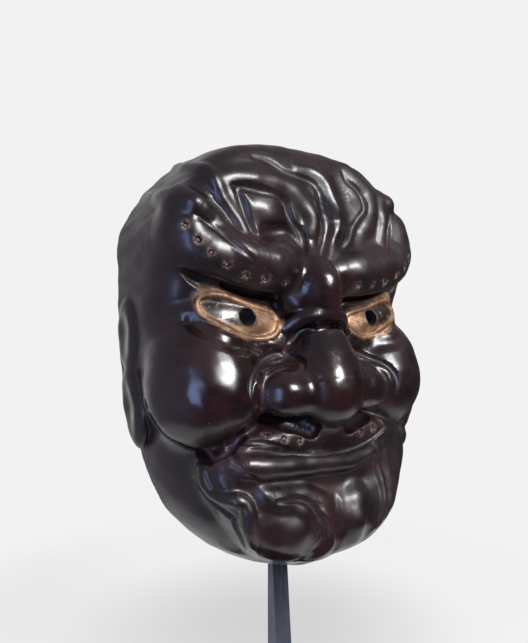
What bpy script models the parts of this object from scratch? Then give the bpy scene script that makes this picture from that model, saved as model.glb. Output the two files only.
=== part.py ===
"""A carved and lacquered wooden kagura mask of a scowling demon, held up by a steel display stand.

The mask is worked out as a solid of clay: each line of the carving adds or cuts one loft, egg, cord
or half-space, in millimetres, in the mask's own frame. There the face looks along -Y, +Z is up, x = 0
is the middle of the face and z = 0 is the height of the pupils. The finished surface is turned into
faces, thinned, and set on the stand in metres.
"""

import math
from concurrent.futures import ThreadPoolExecutor

import bmesh
import bpy
import numpy as np
import openvdb
from mathutils import Vector

MM = 0.001

# The frame: the origin is the middle of the foot's underside.
EYE_HEIGHT = 246.0
MASK_BACK = 15.0

# The shell
WALL = 9.0
PUPIL = 8.8

# The stand: a square foot, a bar whose back is upright and whose front slopes, and on it the two pairs of
# arms that the mask hangs on. The bar and the foot are rows of height, half width, front y and back y, and
# the arms rows of x, y, z and radius on the +X side, all in the mask's frame.
BAR = (
    (-237.7, 5.5, -24, -11),
    (-186, 5.5, -20, -11),
    (-141, 5.5, -16.2, -11),
    (72, 5.5, -16, -11),
)
FOOT = (
    (-246, 65, -80, 50),
    (-238, 65, -80, 50),
)
FOOT_EDGE = 1.0
STAND_ARMS = (
    [(0, -13.5, 62, 2.4), (18, -19, 64, 2.4), (36, -31, 66, 2.4)],
    [(0, -13.5, -100, 2.4), (14, -17, -103, 2.4), (28, -28, -110, 2.4)],
)
SEAT_GAP = 0.5

# The solid's finish
VOXEL = 2.0
MASK_TRIANGLES = 8500

# The grid that holds the clay, in millimetres of the mask's frame
CLAY_LOW = (-106.0, -90.0, -140.0)
CLAY_HIGH = (106.0, 30.0, 116.0)

# How far the hand carving strays from even
WAVES = 0.25

# Whether a shape stands on both halves of the face, as a mirrored pair, or only where it is drawn
PAIR = True
ONCE = False


# Clay: distances in millimetres, negative inside the shape


def blend_min(a, b, k):
    """The nearer of two distances, rounded over k where they meet."""
    h = np.clip(0.5 + 0.5 * (b - a) / k, 0.0, 1.0)
    return b + (a - b) * h - k * h * (1.0 - h)


def smooth_line(points, steps=6):
    """Rows along a Catmull-Rom curve through the rows given."""
    rows = np.array(points, float)
    rows = np.vstack([2 * rows[0] - rows[1], rows, 2 * rows[-1] - rows[-2]])
    line = []
    for a, b, c, d in zip(rows, rows[1:], rows[2:], rows[3:]):
        for t in np.arange(steps) / steps:
            bend = (2 * a - 5 * b + 4 * c - d) * t**2 + (3 * b - a - 3 * c + d) * t**3
            line.append(0.5 * (2 * b + (c - a) * t + bend))
    line.append(rows[-2])
    return np.array(line)


def loft(rows, back):
    """A boxy head through rows of height, half width, front y and squareness, about the plane y = back."""
    z_rows, width_rows, front_rows, power_rows = smooth_line(rows, 8).T
    middle, half = (z_rows[0] + z_rows[-1]) / 2, (z_rows[-1] - z_rows[0]) / 2

    def level(x, y, z):
        width = np.maximum(np.interp(z, z_rows, width_rows), 0.5)
        depth = np.maximum(back - np.interp(z, z_rows, front_rows), 0.5)
        power = np.interp(z, z_rows, power_rows)
        whole = (np.abs(x) / width) ** power + (np.abs(y - back) / depth) ** power
        return (whole + 1e-9) ** (1.0 / power) - 1.0

    def distance(p):
        x, y, z = (p[..., i].astype(np.float32) for i in range(3))
        here = level(x, y, z)
        dx = level(x + 0.5, y, z) - here
        dy = level(x, y + 0.5, z) - here
        dz = level(x, y, z + 0.5) - here
        across = dx * dx + dy * dy
        slope = 2.0 * np.sqrt(across + np.minimum(dz * dz, 6.0 * across)) + 1e-4
        return np.maximum(np.clip(here / slope, -40.0, 40.0), np.abs(z - middle) - half)

    reach = np.array([max(width_rows), 2 * back - min(front_rows), 0])
    low = np.array([-reach[0], min(front_rows), z_rows.min()])
    return distance, low, np.array([*reach[:2], z_rows.max()])


def egg(centre, radii, turn=(0.0, 0.0)):
    """An ellipsoid, turned by degrees about Y and then about Z."""
    centre, radii = np.array(centre, np.float32), np.array(radii, np.float32)
    roll, yaw = np.radians(turn)

    def distance(p):
        x, y, z = (p[..., i] - centre[i] for i in range(3))
        x, y = math.cos(yaw) * x + math.sin(yaw) * y, math.cos(yaw) * y - math.sin(yaw) * x
        x, z = math.cos(roll) * x + math.sin(roll) * z, math.cos(roll) * z - math.sin(roll) * x
        a, b, c = x / radii[0], y / radii[1], z / radii[2]
        whole = np.sqrt(a * a + b * b + c * c) + 1e-6
        steep = np.sqrt((a / radii[0]) ** 2 + (b / radii[1]) ** 2 + (c / radii[2]) ** 2) + 1e-6
        return whole * (whole - 1.0) / steep

    reach = float(radii.max())
    return distance, centre - reach, centre + reach


def cord(points, steps=5):
    """A round cord through rows of x, y, z and radius."""
    line = smooth_line(points, steps).astype(np.float32)
    start, radius = line[:-1, :3], line[:, 3]
    along = line[1:, :3] - start
    squares = np.maximum((along * along).sum(-1), 1e-9)

    def distance(p):
        gap = p[:, None, :] - start
        t = np.clip(np.einsum("nmk,mk->nm", gap, along) / squares, 0.0, 1.0)
        gap -= t[..., None] * along
        return (np.sqrt(np.einsum("nmk,nmk->nm", gap, gap)) - radius[:-1] - t * np.diff(radius)).min(-1)

    reach = radius.max()
    return distance, line[:, :3].min(0) - reach, line[:, :3].max(0) + reach


def hand_waves(p):
    """The slight unevenness of a surface cut by hand."""
    x, y, z = p.T
    wide = np.sin(0.31 * x + 0.17 * z + 1.0) * np.sin(0.29 * z - 0.13 * x) * np.cos(0.2 * y)
    fine = np.sin(0.73 * z + 0.35 * x) * np.sin(0.67 * x - 0.31 * z + 2.0) * np.cos(0.5 * y)
    return WAVES * (wide + 0.15 * fine)


class Clay:
    """A list of shapes added and cut in turn, and the distance that they make."""

    def __init__(self):
        self.steps = []

    def add(self, shape, blend=3.0, pair=PAIR):
        self.steps.append((1.0, *shape, blend, pair))

    def cut(self, shape, blend=2.0, pair=PAIR):
        self.steps.append((-1.0, *shape, blend, pair))

    def work(self, value, p, step):
        sign, distance, blend = step[0], step[1], step[4]
        return sign * blend_min(sign * value, distance(p), blend)

    def at(self, points, part=6000):
        """The distance at rows of points; many rows are worked out in threads."""
        p = np.array(points, np.float32)
        if len(p) <= part:
            return self.at_part(p)
        with ThreadPoolExecutor(4) as pool:
            return np.concatenate(list(pool.map(self.at_part, np.array_split(p, len(p) // part + 1))))

    def at_part(self, p):
        folded = np.column_stack([np.abs(p[:, 0]), p[:, 1:]])
        value = np.full(len(p), 50.0, np.float32)
        for step in self.steps:
            q = folded if step[5] else p
            low, high = step[2] - step[4] - 4.0, step[3] + step[4] + 4.0
            if np.any(q.min(0) > high) or np.any(q.max(0) < low):
                continue
            near = np.all((q > low) & (q < high), axis=-1)
            if near.any():
                value[near] = self.work(value[near], q[near], step)
        return value + hand_waves(p)

    def slope(self, points, here, gap=0.2):
        """The outward gradient of the distance at rows of points."""
        return np.stack([self.at(points + gap * e) - here for e in np.eye(3, dtype=np.float32)], -1) / gap

    def snap(self, points, rounds=4):
        """Rows of points moved onto the surface, and the unit normals there."""
        p = np.array(points, np.float32)
        for _ in range(rounds):
            here = self.at(p)
            g = self.slope(p, here)
            p = p - np.clip(here / np.maximum((g * g).sum(-1), 0.05), -6.0, 6.0)[..., None] * g
        g = self.slope(p, self.at(p))
        return p, g / np.maximum(np.linalg.norm(g, axis=-1, keepdims=True), 1e-6)

    def find(self, rows):
        """The surface under rows of x and z, seen from the front, or nearest to rows of x, y and z."""
        depths = np.arange(-88.0, 20.0, 1.5)
        points = []
        for row in rows:
            line = [(row[0], y, row[-1]) for y in depths] if len(row) == 2 else [row]
            points.append(line[int(np.argmax(self.at(line) < 0))])
        return self.snap(points)

    def along(self, rows, radius, rise):
        """Places on the surface, the normals there, and radii and rises that die away at both ends."""
        on, normal = self.find(rows)
        from_end = np.minimum(np.arange(len(rows)), np.arange(len(rows))[::-1])
        radii = radius * np.interp(from_end, (0, 1, 2), (0.6, 0.85, 1.0))
        return on, normal, radii, rise * np.interp(from_end, (0, 1, 2), (-0.1, 0.7, 1.0))

    def ridge(self, rows, radius, rise, blend=2.0, pair=ONCE):
        """Adds a rounded ridge along rows on the surface."""
        on, normal, radii, rises = self.along(rows, radius, rise)
        self.add(cord(np.column_stack([on - normal * (radii - rises)[:, None], radii])), blend, pair)

    def groove(self, rows, radius, depth, blend=1.5, pair=ONCE):
        """Cuts a rounded groove along rows on the surface, open to the full width where it is deep."""
        on, normal, radii, depths = self.along(rows, radius, depth)
        for share in {1.0, min(1.0, radius / depth)}:
            centres = on + normal * (radii - depths * share)[:, None]
            self.cut(cord(np.column_stack([centres, radii])), blend, pair)

    def grid(self, low, high, voxel, coarse=5):
        """The distance on a regular grid, worked out in full only near the surface."""
        counts = [math.ceil((b - a) / voxel / coarse) for a, b in zip(low, high)]
        blocks = np.indices(counts).reshape(3, -1).T
        middles = self.at(np.array(low) + (blocks * coarse + (coarse - 1) / 2) * voxel)
        value = np.where(middles < 0, -50.0, 50.0).astype(np.float32).reshape(counts)
        value = np.ascontiguousarray(value.repeat(coarse, 0).repeat(coarse, 1).repeat(coarse, 2))
        close = blocks[np.abs(middles) < 1.6 * coarse * voxel]
        close = close[np.lexsort(close.T // 6)]
        cells = (close[:, None, :] * coarse + np.indices([coarse] * 3).reshape(3, -1).T).reshape(-1, 3)
        value[tuple(cells.T)] = self.at(np.array(low) + cells * voxel)
        return value


def clay_mesh(name, clay, voxel, low, high):
    """A closed mesh of the clay's surface, in metres."""
    grid = openvdb.FloatGrid(50.0)
    grid.copyFromArray(np.ascontiguousarray(clay.grid(low, high, voxel)))
    points, triangles, quads = grid.convertToPolygons(0.0, 0.0)
    points, _ = clay.snap(points * voxel + np.array(low), 1)
    mesh = bpy.data.meshes.new(name)
    mesh.from_pydata(points * MM, [], [tuple(q) for q in quads] + [tuple(t) for t in triangles])
    mesh.validate()
    return mesh


# Height, half width, front and squareness of the head without its features
HEAD = (
    (-132.5, 2, -32, 2.4),
    (-131, 18, -42, 2.6),
    (-127, 35, -50, 2.8),
    (-121, 46.5, -51, 3.0),
    (-114, 55, -50, 3.0),
    (-108, 60.5, -49, 3.0),
    (-101, 65.5, -47, 3.2),
    (-93, 69.5, -45, 3.2),
    (-80, 73, -42, 3.4),
    (-63, 76.5, -40, 3.6),
    (-45, 80.5, -38, 3.8),
    (-20, 84.5, -38, 4.0),
    (5, 85.5, -38, 5.0),
    (25, 86, -42, 6.0),
    (45, 86.5, -46, 7.0),
    (60, 80.5, -45.5, 7.0),
    (76, 69, -43.5, 7.0),
    (90, 54, -39.5, 7.0),
    (96, 42, -35.5, 5.0),
    (100, 28, -28, 3.4),
    (102, 14, -17, 2.6),
    (103.5, 2, 2, 2.0),
)

# The same for the block of the mouth and the chin, whose edge is the fold from the cheek to the chin
MUZZLE = (
    (-127, 20, -46, 3.0),
    (-124, 29, -55, 3.6),
    (-119, 39, -61.5, 4.0),
    (-113, 45, -64, 5.0),
    (-107, 49.5, -65, 6.0),
    (-100, 54.5, -65, 6.0),
    (-93, 58, -64, 6.0),
    (-87, 61.5, -62.5, 6.0),
    (-82, 64, -61.5, 6.0),
    (-75, 66.5, -60.5, 6.0),
    (-66, 66.5, -60, 5.5),
    (-59, 61.5, -61, 4.2),
    (-53, 50, -60.5, 3.2),
    (-47, 26, -52, 3.0),
)

# The nostrils, blind hollows that face down and forwards: the mouth of each, and its depth
NOSTRILS = (
    [(38, -50, -44, 3), (34, -52, -46.5, 5.4), (27, -55, -48.5, 7), (20, -57, -50.5, 6.8), (13, -60, -54, 5)],
    [(33, -47, -43.5, 4.5), (25, -49, -43.5, 6), (17, -53, -46, 5)],
)

# The crack under the cheek on the -X side, from the ear to the wing of the nose
BAND = [(-91, -20, -36), (-87, -24, -47), (-82, -27, -56), (-77, -31, -61.5), (-71, -37, -65)]
BAND += [(-65, -44, -65.5), (-59, -50, -62), (-54, -53, -56), (-50, -54.5, -49)]

# Height and depth of the rim
RIM = (
    (-150, -38),
    (-132, -23),
    (-122, -16),
    (-108, -6),
    (-92, 4),
    (-70, 13),
    (-40, 18),
    (0, 19),
    (50, 18),
    (80, 14),
    (103, 7),
    (125, -2),
)


def offset(shape, by):
    """The same shape, grown by a distance."""
    distance, low, high = shape
    return lambda p: distance(p) - by, low - by, high + by


def carve_head(clay):
    """The mask's main volumes."""
    clay.add(loft(HEAD, 12))
    # Cheeks
    clay.add(egg((60, -27, -16), (25, 26, 22)), 10)
    clay.add(egg((58.5, -29, -33), (31.5, 32, 31)), 8)
    jowl = [(76, -34, -40, 10), (74, -36, -50, 10), (72, -38, -59, 8.7), (67, -42, -68, 8)]
    clay.add(cord(jowl), 6, ONCE)
    # Mouth and chin
    clay.add(loft(MUZZLE, -25), 2.5)
    # Brows, upright in front, and the deep recess under them, open to the front
    brow = [(10, -42, 28, 11), (28, -43.5, 30, 12), (45, -43.5, 33, 12), (62, -40, 36, 12.5)]
    clay.add(cord(brow + [(71, -35.5, 43, 12.5), (72, -33, 58, 11)]), 8)
    edge = [(14, -44, 21, 7.5), (28, -44, 22.5, 8), (45, -44, 25, 8), (60, -41.5, 29.5, 8)]
    edge += [(70, -38, 37, 8)]
    clay.add(cord(edge), 3)
    recess = [(15, -44, 9, 3.5), (28, -46, 12, 5), (44, -46, 13, 5), (58, -44, 17, 4.6)]
    recess += [(69, -40, 21.5, 3.6)]
    for forward in (0, 5, 10):
        row = [(x, y - forward, z, radius) for x, y, z, radius in recess]
        clay.cut(cord(row + [(77, -38.5 - forward, 25.5, 2.2), (84, -38 - forward, 29, 0.6)]), 1)
    clay.cut(cord([(16, -41, 13, 3.5), (28, -42, 16.5, 4.3), (42, -42, 17.5, 4.3), (54, -41, 20, 3)]), 1)
    # Nose, and the skin between it and the cheeks
    nose = [(0, -45, 3, 12.5), (0, -47, -5, 14), (0, -49, -13, 17), (0, -51.5, -24, 21)]
    nose += [(0, -54, -33, 22.8)]
    clay.add(cord(nose), 4)
    clay.add(cord([(14, -38, -1, 9), (24, -38.5, -9, 11), (36, -38, -15, 11)]), 6)
    # Knob between the brows
    clay.add(cord([(0, -48.5, 28.5, 8), (0, -52.3, 21.5, 11.5), (0, -48.5, 13, 13.8)]), 1.2)
    clay.add(cord([(-2, -51, 30, 6), (-7, -50, 23, 8), (-12, -46.5, 13, 9)]), 6, ONCE)


def carve_eyes(clay):
    """The eyeballs in their rims and lids."""
    lid = [(24, -39, 4.5, 3), (31, -40.5, 7.8, 3.6), (40, -40.5, 9.5, 3.8), (51, -39.5, 12.8, 4)]
    clay.add(cord(lid + [(60, -38, 15.5, 3.8), (66, -35, 15, 3.4)]), 3)
    clay.add(egg((46, -31.2, 1), (34, 15.8, 15), (9, 8)), 2)
    rim = [(23.5, 1.5), (26, 5), (32, 7.8), (40.5, 9.8), (49, 12.4), (56.4, 14.6), (62, 15.2), (67, 13.5)]
    rim += [(69, 9), (67, 4.5), (61, 0.3), (55, -3.2), (46, -6.6), (36, -7.6), (28.5, -5.8), (24.5, -2)]
    on, normal = clay.find(rim + rim[:1])
    clay.add(cord(np.column_stack([on - normal * 0.4, np.full(len(on), 1.5)])), 0.8)


def carve_forehead(clay):
    """The frown: folds that fan out from between the brows, not alike on the two halves."""
    # Inner ends of the brows
    clay.add(egg((29, -44, 31), (15, 13, 13), (6, 0)), 5)
    # The half on the left of the picture, from the temple to the middle
    clay.groove([(-71, 70), (-65, 64), (-60, 60), (-56, 54), (-51, 48), (-46, 42)], 8, 2.4, 4)
    shoulder = [(-74, 14, 72), (-78, -6, 70), (-80, -24, 65), (-76, 60), (-70, 58), (-66, 56), (-62, 53)]
    clay.ridge(shoulder + [(-57, 48), (-52, 42), (-48, 36), (-41, 35), (-33, 34)], 6, 2.6, 3)
    clay.groove([(-74, 53), (-67, 48), (-61, 43), (-56, 39), (-50, 34), (-44, 30)], 1.4, 0.7, 1.2)
    crest = [(-50, 24, 91), (-56, 7, 89), (-62, -14, 84), (-63, -32, 80), (-61, 76), (-60, 71), (-57, 64)]
    clay.ridge(crest + [(-53, 59), (-49, 53), (-47, 48), (-45, 44), (-42, 39)], 3.6, 1.9, 2)
    clay.groove([(-50, 70), (-48, 66), (-45, 60), (-43, 53), (-41, 47), (-38, 41)], 2.6, 1.7, 1.6)
    clay.ridge([(-46, 69), (-44, 65), (-41, 60), (-40, 54), (-38, 49), (-34, 46)], 2.4, 1.2, 1.6)
    clay.add(egg((-31, -35, 59), (19, 14, 17)), 2, ONCE)
    sweep = [(-58, 74), (-46, 75.5), (-35, 76.5), (-23, 75.5), (-13, 72), (-5, 66), (-1, 59), (0, 52)]
    sweep += [(-1, 44)]
    clay.ridge(sweep + [(-5, 37)], 7, 2.8, 3)
    hem = [(-52, 70), (-44, 70), (-36, 69), (-27, 68), (-20, 65), (-17, 59), (-14, 54), (-9, 50)]
    hem += [(-7, 45), (-9, 38)]
    clay.groove(hem, 2.2, 2.2, 1.5)
    clay.groove([(-36, 41), (-34, 46), (-27, 49.5), (-18, 50), (-12, 47), (-10, 42)], 4.5, 2.8, 2)
    # The middle
    clay.groove(
        [(-36, 87), (-27, 86), (-22, 84), (-17, 81), (-8, 80), (1, 78), (5, 74), (7, 68)],
        1.9, 1.2, 2,
    )
    clay.groove([(4, 72), (8, 65), (10, 58), (10, 52), (8, 45), (4, 38)], 5, 2.4, 2)
    # The half on the right
    ridge = [(-7, 86), (5, 85), (12, 79), (15, 71), (18.5, 65), (21, 59), (19.5, 53), (15, 45), (10, 38)]
    clay.ridge(ridge, 5, 2.1, 3)
    clay.groove([(21, 80), (27, 71), (29, 63), (26, 54), (21, 46)], 8, 1.4, 5)
    clay.ridge([(32, 91), (38, 84), (45, 78), (46, 71), (45, 65), (40, 58), (35, 52), (28, 44)], 6, 1.3, 4)
    clay.groove(
        [(27, 88), (29, 83), (35, 79), (39, 73), (40, 67), (35, 61), (31, 56), (27, 48), (20, 41)],
        1.5, 1, 1.5,
    )
    clay.ridge(
        [(60, -27, 84), (60, -37, 80), (57, 77), (55, 71), (55, 63), (54, 56), (51, 49)],
        4.5, 2, 2.5,
    )
    clay.add(egg((63, -33, 73), (9, 11, 8)), 3, ONCE)
    clay.groove([(63, 66), (61, 61), (59, 54), (56, 47), (48, 39)], 1.6, 1.4, 1.4)


def carve_nose(clay):
    """The roll and the crease across the bridge, the wings and the nostrils."""
    roll = [(0, -54, 5.6, 6.8), (6, -53.5, 5.1, 6.6), (13, -50.5, 2.8, 6), (19, -45.5, -1.5, 5.5)]
    roll += [(24, -41, -6.5, 4)]
    clay.add(cord(roll), 1.5)
    crease = [(-22, -14), (-20.5, -11.5), (-18.5, -8.5), (-16, -5.4), (-13, -3), (-9, -1.4), (-3, -0.6)]
    crease += [(3, -0.6)]
    crease += [(9, -1.4), (13, -3), (16, -5.4), (18.5, -8.5), (20.5, -11.5), (22, -14)]
    clay.groove(crease, 2.6, 5.5, 0.7)
    # A wing: the ball, the rim that curls round it, and the lines on either side of the rim
    clay.add(egg((25, -51.5, -35), (18, 17, 14.5)), 5)
    outside = [(21, -63, -22), (21, -61, -17), (22, -55, -15.5), (24, -49, -15), (30, -49, -15.5)]
    outside += [(37, -51, -18)]
    outside += [(45, -56, -22), (50, -58, -27), (52, -58, -33), (51, -58, -38)]
    clay.groove(outside, 1.4, 1.6, 1, PAIR)
    rim = [(22, -62, -22), (22, -59, -18.5), (24, -54, -18), (29, -53, -18), (35, -54, -20), (40, -55, -23)]
    clay.ridge(rim + [(45, -57, -27), (47, -58, -32), (47, -57, -38), (43, -55, -43)], 2, 0.7, 1, PAIR)
    inside = [(25, -60, -22.5), (28, -59, -21), (34, -58, -22), (38, -58, -24), (41, -58, -27.5)]
    clay.groove(inside + [(43, -59, -32), (43, -58, -37), (41, -58, -41)], 1.1, 0.8, 1, PAIR)
    # Nostrils, blind hollows that face down and forwards
    for nostril in NOSTRILS:
        clay.cut(cord(nostril), 0.8)


def carve_cheeks(clay):
    """The groove under the eye, and the overhanging edge round the cheek."""
    clay.groove([(72, 1), (69, -4), (65, -7), (57, -10), (46, -12), (38, -13), (30, -13)], 4, 1.4, 3, PAIR)
    clay.groove(BAND, 3.6, 6, 0.8)
    clay.groove(
        [(82, -37, -57), (79, -40, -60), (75, -43, -63), (70, -46, -63.5), (66, -49, -61), (61, -52, -54)],
        2.4, 1.2, 2,
    )
    clay.groove([(77, -42, -44), (74, -46, -49), (71, -49, -54), (68, -50, -59)], 2.4, 1.1, 1.6)


def carve_mouth(clay):
    """The closed lips and the hollow under them."""
    clay.groove(
        [(-48, -80), (-36, -81), (-26, -82), (-15, -83), (-4, -84), (8, -85), (20, -84), (32, -82)],
        7, 2.4, 4,
    )
    lower = [(-57, -53, -68, 5), (-51, -56.5, -69.2, 6.6), (-41, -58.3, -70.2, 6.6)]
    lower += [(-30, -59.2, -70.8, 6.3)]
    lower += [(-19, -59.4, -71.3, 6), (-5, -59.8, -72.3, 5.6), (9, -60, -73, 5.2), (20, -59.5, -72, 4.6)]
    clay.add(cord(lower + [(30, -58.5, -70, 4), (40, -56, -66.5, 3.4), (46, -52, -64, 2.6)]), 1.5, ONCE)
    clay.groove([(-50, -74), (-55, -71), (-58, -67), (-58.5, -63), (-56, -60), (-50, -58)], 1.6, 0.8, 1.4)
    upper = [(-56, -60), (-50, -58), (-44, -58), (-36, -60.5), (-28, -63.3), (-20, -65.5), (-11, -66.8)]
    clay.groove(upper + [(2, -67.5), (12, -67.5), (22, -66), (29, -64), (35, -61), (42, -58)], 1.4, 1.8, 1)
    clay.groove([(-50, -61.5), (-43, -62), (-37, -63), (-29, -64.8), (-21, -66.5)], 1.7, 2.6, 1)


def carve_chin(clay):
    """The balls of the chin, and the folds that run to them."""
    clay.add(egg((-26, -51.5, -104), (17, 15, 14)), 4, ONCE)
    clay.add(egg((14, -53.5, -106), (11, 13, 13)), 3, ONCE)
    clay.ridge([(17, -85), (16, -91), (15, -98), (15, -105), (17, -112)], 8, 2.6, 4)
    brim = [(-49, -82), (-44, -83.5), (-38, -84.5), (-27, -84.7), (-18, -86), (-10, -90), (-4, -95)]
    clay.ridge(brim, 6, 3, 3)
    clay.ridge([(-46, -88), (-37, -89), (-28, -91), (-22, -94), (-17, -98), (-13, -103)], 4.5, 1.6, 2.5)
    clay.groove(
        [(-38, -86.5), (-31, -87.3), (-24, -88.3), (-18, -91), (-14, -95.5), (-11.5, -101)],
        1.6, 1.6, 1.4,
    )
    clay.ridge(
        [(-14, -93), (-9, -97), (-5, -102), (-2.5, -107), (-2.5, -113), (-6, -117), (-13, -120),
         (-21, -121)],
        3.2, 2.2, 1.8,
    )
    clay.groove([(-12, -99), (-9, -104), (-8, -109), (-10, -113), (-15, -115)], 1.8, 1.4, 1.4)
    clay.groove([(1, -91), (0.5, -99), (0.5, -106), (1, -113), (2, -121)], 3.4, 2.4, 2)
    # Folds from the corners of the mouth
    jaw = [(-71, -40, -66), (-70, -41, -72), (-67, -42, -77), (-63, -45, -81.5), (-60, -50, -83)]
    jaw += [(-56, -54, -84.5)]
    jaw += [(-53, -56, -87), (-50.5, -56, -92), (-48.5, -56, -98), (-45, -54.5, -106), (-40, -50, -114)]
    clay.groove([(-62, -73), (-57, -77.5), (-52, -80.5), (-48, -86), (-45, -94)], 6, 1.6, 3)
    clay.ridge(jaw, 4, 3.4, 1.2)
    edge = [(-66, -30, -79), (-62, -34, -84), (-58, -38, -88), (-55, -46, -90), (-53, -51, -93)]
    edge += [(-51, -50, -99)]
    clay.groove(edge + [(-48, -48, -107), (-43, -45, -114)], 2, 1.8, 1)
    fold = [(31, -64), (34, -71), (34, -77), (35, -83), (36, -89), (36, -96), (35, -102), (32, -109)]
    fold += [(25, -115)]
    clay.ridge(fold, 2.6, 1.6, 1.4)
    clay.groove([(38, -66), (39, -76), (40, -86), (40, -96), (38, -106)], 3, 1.4, 2)


def carve_ears(clay):
    """Two long petals on the side, softly hollowed."""
    clay.add(egg((84, 6, -6), (4.8, 12.5, 21), (-2, 0)), 1.2)
    clay.cut(egg((94, 9, -6), (7.5, 9.5, 17), (-2, 0)), 4)
    clay.add(egg((81.5, 5, -44), (5, 12, 23), (-8, 0)), 1.2)
    clay.cut(egg((91.5, 8, -45), (7.5, 9, 18), (-8, 0)), 4)


def behind(rows):
    """Everything behind the rim, whose depth is given by rows of height and y."""
    line = smooth_line(rows, 6)

    def distance(p):
        slope = np.interp(p[..., 2], line[1:, 0], np.diff(line[:, 1]) / np.diff(line[:, 0]))
        return (np.interp(p[..., 2], line[:, 0], line[:, 1]) - p[..., 1]) / np.sqrt(1 + slope * slope)

    return distance, np.full(3, -1e4), np.full(3, 1e4)


def hollow_out(clay):
    """The wearer's side, the rim and the pupils."""
    clay.cut(offset(loft(HEAD, 12), -WALL), 4)
    # Room behind the nose, the mouth and the cheeks
    clay.cut(cord([(0, -24, 14, 8), (0, -32, -4, 9), (0, -41, -24, 12), (0, -37, -40, 10)]), 12)
    clay.cut(egg((0, -22, -90), (42, 24, 33)), 12)
    clay.cut(egg((56, -18, -30), (18, 24, 20)), 12)
    clay.cut(behind(RIM), 1.5, ONCE)
    clay.cut(cord([(44, -70, 4, PUPIL / 2), (44, 0, 4, PUPIL / 2)]), 0.6)
    for seat in STAND_ARMS:
        clay.cut(offset(cord(seat), SEAT_GAP), 0.5)


def carved_mask():
    """The whole mask in clay."""
    clay = Clay()
    carve_head(clay)
    carve_eyes(clay)
    carve_forehead(clay)
    carve_nose(clay)
    carve_cheeks(clay)
    carve_mouth(clay)
    carve_chin(clay)
    carve_ears(clay)
    hollow_out(clay)
    return clay


# The stand, in metres and in the row's frame


def material(name, color, metallic, roughness):
    """A plain material."""
    made = bpy.data.materials.new(name)
    made.use_nodes = True
    shader = made.node_tree.nodes["Principled BSDF"]
    shader.inputs["Base Color"].default_value = (*color, 1.0)
    shader.inputs["Metallic"].default_value = metallic
    shader.inputs["Roughness"].default_value = roughness
    return made


def add_object(name, mesh, look):
    """Links a mesh as a named object."""
    made = bpy.data.objects.new(name, mesh)
    mesh.materials.append(look)
    bpy.context.scene.collection.objects.link(made)
    return made


def skin(rings):
    """A closed mesh over rings of as many points each, in millimetres of the mask's frame."""
    made = bmesh.new()
    rows = [[made.verts.new(Vector(point) * MM) for point in ring] for ring in rings]
    for low, high in zip(rows, rows[1:]):
        for i, corner in enumerate(low):
            made.faces.new((low[i - 1], corner, high[i], high[i - 1]))
    made.faces.new(rows[0][::-1])
    made.faces.new(rows[-1])
    bmesh.ops.recalc_face_normals(made, faces=made.faces)
    mesh = bpy.data.meshes.new("skin")
    made.to_mesh(mesh)
    made.free()
    return mesh


def bar_rings(rows):
    """Oblong rings through rows of height, half width, front y and back y."""
    return [[(-w, front, z), (w, front, z), (w, back, z), (-w, back, z)] for z, w, front, back in rows]


def arm_rings(rows, sides=12):
    """Round rings through rows of x, y, z and radius, with a domed tip."""
    line = smooth_line(rows, 4)
    ahead = (line[-1, :3] - line[-2, :3]) / np.linalg.norm(line[-1, :3] - line[-2, :3])
    for turn in (30, 60, 80):
        tip = line[-1, :3] + ahead * rows[-1][3] * math.sin(math.radians(turn))
        line = np.vstack([line, [*tip, rows[-1][3] * math.cos(math.radians(turn))]])
    spokes = [math.tau * k / sides for k in range(sides)]
    rings = []
    for i, (x, y, z, radius) in enumerate(line.tolist()):
        along = Vector(line[min(i + 1, len(line) - 1), :3] - line[max(i - 1, 0), :3]).normalized()
        up = along.cross(Vector((0, 1, 0))).normalized()
        side = along.cross(up)
        centre = Vector((x, y, z))
        rings.append([centre + radius * math.cos(t) * up + radius * math.sin(t) * side for t in spokes])
    return rings


def joined(meshes):
    """One mesh around all of the meshes."""
    objects = [bpy.data.objects.new("piece", mesh) for mesh in meshes]
    for piece in objects:
        bpy.context.scene.collection.objects.link(piece)
    for other in objects[1:]:
        union = objects[0].modifiers.new("union", "BOOLEAN")
        union.operation = "UNION"
        union.object = other
    whole = bpy.data.meshes.new_from_object(objects[0].evaluated_get(bpy.context.evaluated_depsgraph_get()))
    for piece in objects:
        bpy.data.objects.remove(piece)
    return whole


def mirrored(rings):
    """The same rings on the -X side."""
    return [[(-x, y, z) for x, y, z in ring] for ring in rings]


def main():
    for old in list(bpy.data.objects):
        bpy.data.objects.remove(old)
    lacquer = material("dark lacquer over wood", (0.035, 0.022, 0.022), 0.0, 0.22)
    black_steel = material("blackened steel bar", (0.05, 0.055, 0.07), 0.8, 0.4)
    plate_steel = material("blackened steel plate", (0.04, 0.043, 0.05), 0.8, 0.45)

    mask = add_object("mask", clay_mesh("mask", carved_mask(), VOXEL, CLAY_LOW, CLAY_HIGH), lacquer)
    thin = mask.modifiers.new("thin", "DECIMATE")
    thin.ratio = MASK_TRIANGLES / sum(len(face.vertices) - 2 for face in mask.data.polygons)

    arms = [arm_rings(rows) for rows in STAND_ARMS]
    arms += [mirrored(rings) for rings in arms]
    upright = joined([skin(rings) for rings in (bar_rings(BAR), *arms)])
    add_object("stand_upright", upright, black_steel)

    foot = add_object("stand_foot", skin(bar_rings(FOOT)), plate_steel)
    edge = foot.modifiers.new("edge", "BEVEL")
    edge.width = FOOT_EDGE * MM
    edge.segments = 2

    for part in bpy.data.objects:
        part.location = (0, MASK_BACK * MM, EYE_HEIGHT * MM)


if __name__ == "__main__":
    main()
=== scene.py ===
"""The kagura mask on its stand in the studio: dark glossy lacquer, worn gilt eyes, steel stand.

The mask's surface is worked out again from the same clay shapes as its solid, on a finer grid and with
the fine relief added. Lengths of the clay are in millimetres of the mask's own frame: the face looks
along -Y, +Z is up, x = 0 is the middle of the face and z = 0 is the height of the pupils.
"""

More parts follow.
